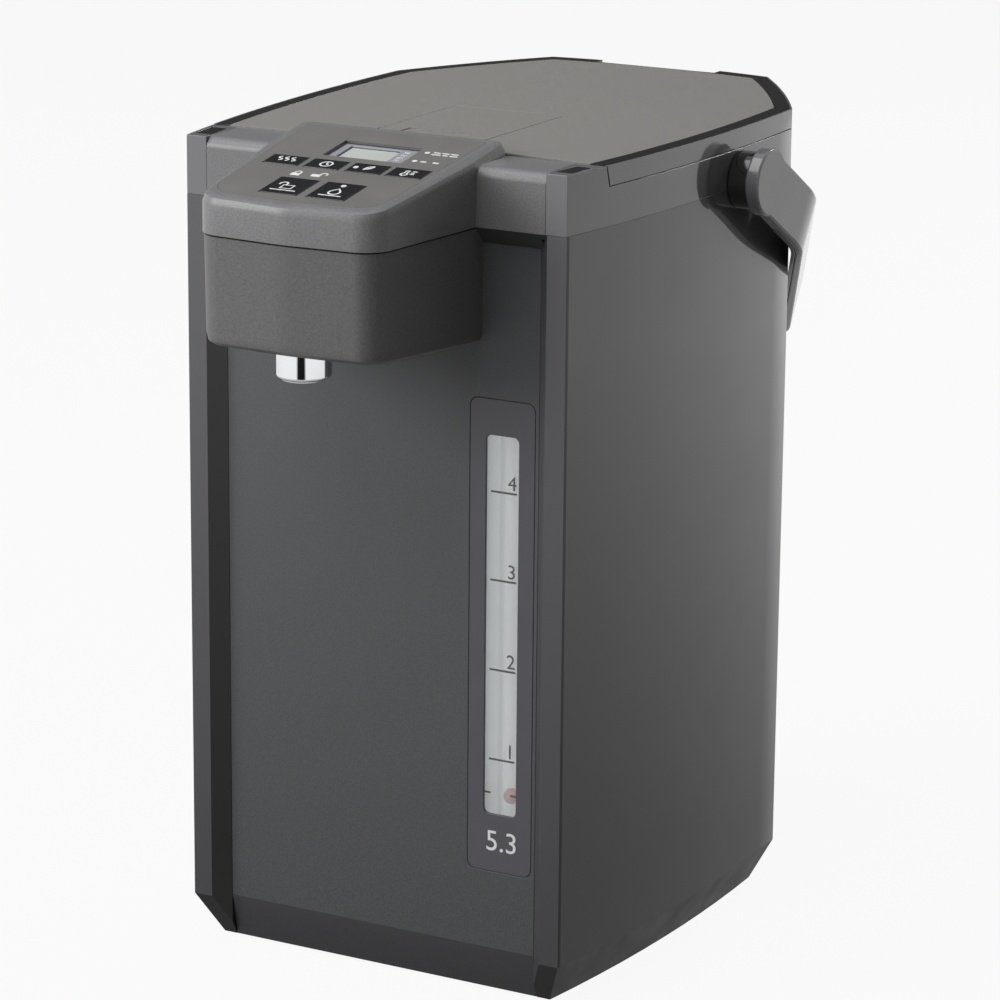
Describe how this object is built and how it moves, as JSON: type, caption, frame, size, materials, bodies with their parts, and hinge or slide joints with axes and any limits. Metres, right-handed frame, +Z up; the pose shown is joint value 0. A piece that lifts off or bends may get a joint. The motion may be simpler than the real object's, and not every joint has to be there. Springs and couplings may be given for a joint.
{
  "type": "electric thermo pot",
  "caption": "Electric hot-water dispensing pot with a pump-fed spout head, control keys, water gauge, hinged lid, carrying handle and swivel base.",
  "frame": {"origin": "on the swivel axis, in the plane of the rubber foot's underside", "axes": "+Z up, -Y to the front where the spout is, +X to the right of the pot seen from its rear"},
  "size_m": [0.2416, 0.3836, 0.3787],
  "materials": {
    "dark_case": "semi-gloss, moulded, clear coated",
    "textured_grey": "fine leather-grain texture",
    "black_gloss": "gloss",
    "grey_satin": "satin",
    "black_plastic": "matt",
    "top_texture": "fine texture, warm grey",
    "sheet_print": "matt film",
    "pale_plastic": "matt",
    "lcd": "matt",
    "clear": "clear",
    "chrome": "polished",
    "steel": "brushed",
    "rubber": "matt",
    "silicone": "matt",
    "board": "solder mask",
    "red_float": "gloss",
    "aluminium": "cast",
    "brass": "plated"
  },
  "bodies": {
    "turntable": {"turntable_ring": "black_plastic", "foot_ring": "rubber"},
    "pot": {"bottom_plate": "black_plastic", "turntable_retainer": "black_plastic", "bottom_screws": "steel", "outer_case": "dark_case", "front_panel": "textured_grey", "shoulder_ring": "grey_satin", "shoulder_trim": "black_gloss", "head_upper_cover": "grey_satin", "head_lower_cover": "textured_grey", "control_sheet": "sheet_print", "display_frame": "pale_plastic", "display_lens": "lcd", "control_board": "board", "indicator_lenses": "pale_plastic", "spout_nozzle": "chrome", "discharge_pipe": "silicone", "gauge_bezel": "textured_grey", "gauge_lens": "clear", "gauge_backing": "pale_plastic", "gauge_tube": "clear", "vessel_inner": "steel", "vessel_jacket": "steel", "vessel_support": "black_plastic", "mouth_guard": "black_plastic", "heater_plate": "aluminium", "temperature_sensor": "brass", "pump_housing": "pale_plastic", "pump_motor": "steel", "inlet_hose": "silicone", "outlet_hose": "silicone", "power_board": "board", "power_inlet": "black_plastic", "inlet_pins": "brass", "handle_bosses": "black_gloss", "handle_pins": "steel", "hinge_pin": "steel"},
    "impeller": {"pump_impeller": "pale_plastic"},
    "handle": {"handle_bail": "grey_satin", "handle_liner": "black_gloss"},
    "lid": {"lid_cover": "grey_satin", "lid_top_plate": "top_texture", "lid_border": "black_gloss", "lid_inner_cover": "black_plastic", "lid_inner_plate": "steel", "lid_gasket": "silicone", "steam_valve": "black_plastic", "lever_pin": "steel", "hinge_cover": "black_gloss"},
    "lever": {"lid_lever": "top_texture"},
    "latch": {"lid_latch": "black_plastic"},
    "float": {"gauge_ball": "red_float"},
    "key_reboil": {"key_reboil": "black_plastic"},
    "key_timer": {"key_timer": "black_plastic"},
    "key_eco": {"key_eco": "black_plastic"},
    "key_temperature": {"key_temperature": "black_plastic"},
    "key_unlock": {"key_unlock": "black_plastic"},
    "key_dispense": {"key_dispense": "black_plastic"}
  },
  "joints": [
    {"name": "swivel", "type": "hinge", "parent": "turntable", "child": "pot", "pos_m": [0, 0, 0], "axis": [0, 0, 1], "continuous": true},
    {"name": "impeller_spin", "type": "hinge", "parent": "pot", "child": "impeller", "pos_m": [0.02, -0.043, 0.04], "axis": [0, 0, 1], "continuous": true},
    {"name": "handle_swing", "type": "hinge", "parent": "pot", "child": "handle", "pos_m": [0, 0.002, 0.349], "axis": [1, 0, 0], "range_deg": [0, 121]},
    {"name": "lid_hinge", "type": "hinge", "parent": "pot", "child": "lid", "pos_m": [0, 0.1285, 0.3691], "axis": [-1, 0, 0], "range_deg": [0, 88]},
    {"name": "lever_hinge", "type": "hinge", "parent": "lid", "child": "lever", "pos_m": [0, -0.0238, 0.3711], "axis": [-1, 0, 0], "range_deg": [0, 13], "stiffness_Nm_per_rad": 0.15, "springref_deg": -14.32},
    {"name": "latch_slide", "type": "slide", "parent": "lid", "child": "latch", "axis": [0, 1, 0], "range_m": [0, 0.0034]},
    {"name": "float_rise", "type": "slide", "parent": "pot", "child": "float", "axis": [0, 0, 1], "range_m": [0, 0.16]},
    {"name": "key_reboil_press", "type": "slide", "parent": "pot", "child": "key_reboil", "axis": [0, 0.1676, -0.9859], "range_m": [0, 0.0008], "stiffness_N_per_m": 400, "springref_m": -0.0006},
    {"name": "key_timer_press", "type": "slide", "parent": "pot", "child": "key_timer", "axis": [0, 0.1676, -0.9859], "range_m": [0, 0.0008], "stiffness_N_per_m": 400, "springref_m": -0.0006},
    {"name": "key_eco_press", "type": "slide", "parent": "pot", "child": "key_eco", "axis": [0, 0.1676, -0.9859], "range_m": [0, 0.0008], "stiffness_N_per_m": 400, "springref_m": -0.0006},
    {"name": "key_temperature_press", "type": "slide", "parent": "pot", "child": "key_temperature", "axis": [0, 0.1676, -0.9859], "range_m": [0, 0.0008], "stiffness_N_per_m": 400, "springref_m": -0.0006},
    {"name": "key_unlock_press", "type": "slide", "parent": "pot", "child": "key_unlock", "axis": [0, 0.1676, -0.9859], "range_m": [0, 0.0008], "stiffness_N_per_m": 400, "springref_m": -0.0006},
    {"name": "key_dispense_press", "type": "slide", "parent": "pot", "child": "key_dispense", "axis": [0, 0.1676, -0.9859], "range_m": [0, 0.0008], "stiffness_N_per_m": 400, "springref_m": -0.0006}
  ],
  "couplings": [
    {"joint": "latch_slide", "follows": "lever_hinge", "m_per_rad": 0.013221}
  ]
}
